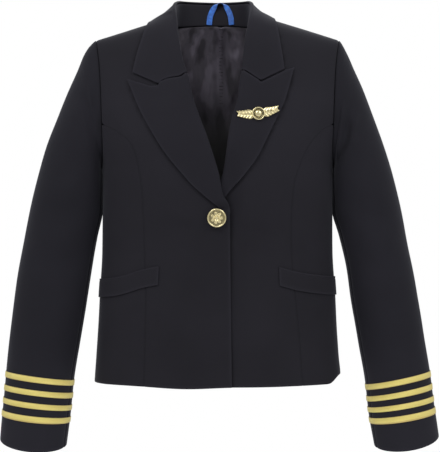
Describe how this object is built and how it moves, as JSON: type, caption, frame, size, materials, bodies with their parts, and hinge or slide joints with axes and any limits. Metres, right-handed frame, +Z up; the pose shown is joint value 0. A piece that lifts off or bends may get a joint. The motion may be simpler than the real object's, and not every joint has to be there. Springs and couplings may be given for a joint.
{
  "type": "fitted blazer",
  "caption": "Hollow fitted blazer with peak lapels, princess seams, slanted welt pockets and gold braid round the cuffs, buttoned at the front.",
  "frame": {"origin": "between the shoulders at the height of the neck seam, where the wearer's shoulders and neck hold the garment", "axes": "+Z up along the body, +Y out of the back, so the buttoned front faces -Y and the wearer's left is at +X"},
  "size_m": [0.6972, 0.2229, 0.7172],
  "materials": {
    "suiting": "navy-black wool suiting, fine twill, matt",
    "satin_lining": "dark grey satin with a soft sheen",
    "gold_braid": "woven metallic gold braid",
    "blue_tape": "blue satin hanger tape",
    "gilt": "light gilt, relief on a matt ground, polished rims"
  },
  "bodies": {
    "root": {"front_right": "suiting", "front_left": "suiting", "side_front_right": "suiting", "side_front_left": "suiting", "back_right": "suiting", "back_left": "suiting", "top_sleeve_right": "suiting", "under_sleeve_right": "suiting", "top_sleeve_left": "suiting", "under_sleeve_left": "suiting", "welt_right": "suiting", "welt_left": "suiting", "collar": "suiting", "collar_stand": "suiting", "lapel_right": "suiting", "lapel_left": "suiting", "braid_right_1": "gold_braid", "braid_right_2": "gold_braid", "braid_right_3": "gold_braid", "braid_right_4": "gold_braid", "braid_left_1": "gold_braid", "braid_left_2": "gold_braid", "braid_left_3": "gold_braid", "braid_left_4": "gold_braid", "back_lining": "satin_lining", "hanger_loop": "blue_tape", "button": "gilt", "lapel_pin": "gilt"}
  },
  "joints": []
}
